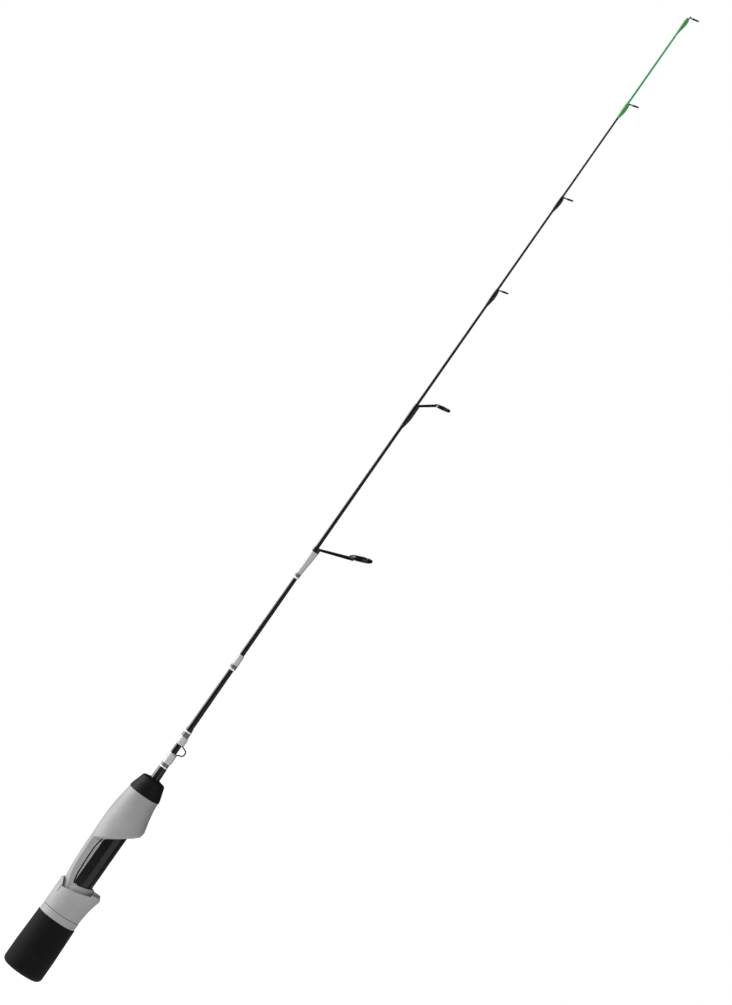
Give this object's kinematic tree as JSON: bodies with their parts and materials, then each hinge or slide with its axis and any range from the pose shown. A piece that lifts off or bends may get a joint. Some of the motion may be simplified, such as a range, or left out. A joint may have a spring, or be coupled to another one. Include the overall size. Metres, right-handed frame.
{
  "type": "ice fishing rod",
  "caption": "Short ice fishing rod with a foam butt grip that screws a sliding hood toward the fixed hood of its reel seat, ring guides and a bright tip.",
  "frame": {"origin": "centre of the butt grip's flat end face", "axes": "+Z along the rod from butt to tip, +X toward the side of the reel foot and the guides"},
  "size_m": [0.0449, 0.0264, 0.6858],
  "materials": {
    "black_blank": "gloss lacquer over graphite",
    "green_tip": "gloss green paint",
    "dark_tube": "polished fibre tube",
    "spring_steel": "plain spring steel",
    "grey_seat": "satin soft-touch plastic",
    "black_cap": "matte black rubber",
    "arbor": "rigid foam bushing",
    "keeper_wire": "black lacquered wire",
    "black_thread": "black thread under epoxy",
    "silver_thread": "silver thread under epoxy",
    "dark_band": "dark grey trim thread under epoxy",
    "light_band": "light trim thread under epoxy",
    "guide_frame": "gloss black stainless steel",
    "guide_insert": "polished black ceramic",
    "green_thread": "green thread under epoxy",
    "black_foam": "fine closed-cell foam"
  },
  "bodies": {
    "rod": {"blank": "black_blank", "blank_tip": "green_tip", "seat_barrel": "dark_tube", "stop_ring": "spring_steel", "seat_body": "grey_seat", "nose_cap": "black_cap", "arbor_rear": "arbor", "arbor_front": "arbor", "hook_keeper": "keeper_wire", "base_wrap": "black_thread", "keeper_wrap_lower": "silver_thread", "keeper_wrap_upper": "silver_thread", "keeper_end_wrap": "black_thread", "accent_wrap": "silver_thread", "trim_bands_dark": "dark_band", "trim_bands_light": "light_band", "guide_frame_1": "guide_frame", "guide_ring_1": "guide_insert", "guide_wrap_1": "silver_thread", "guide_end_wrap_1": "black_thread", "guide_frame_2": "guide_frame", "guide_ring_2": "guide_insert", "guide_wrap_2": "black_thread", "guide_frame_3": "guide_frame", "guide_ring_3": "guide_insert", "guide_wrap_3": "black_thread", "guide_frame_4": "guide_frame", "guide_ring_4": "guide_insert", "guide_wrap_4": "black_thread", "guide_frame_5": "guide_frame", "guide_ring_5": "guide_insert", "guide_wrap_5": "green_thread", "tip_top_frame": "guide_frame", "tip_top_ring": "guide_insert", "tip_wrap": "green_thread"},
    "hood": {"sliding_hood": "grey_seat"},
    "butt_knob": {"lock_ring": "grey_seat", "butt_grip": "black_foam"}
  },
  "joints": [
    {"name": "hood_slide", "type": "slide", "parent": "rod", "child": "hood", "axis": [0, 0, 1], "range_m": [-0.01, 0]},
    {"name": "butt_turn", "type": "hinge", "parent": "hood", "child": "butt_knob", "pos_m": [0, 0, 0.041], "axis": [0, 0, 1], "range_deg": [-1440, 0]}
  ],
  "couplings": [
    {"joint": "hood_slide", "follows": "butt_turn", "m_per_rad": 0.00039789}
  ]
}
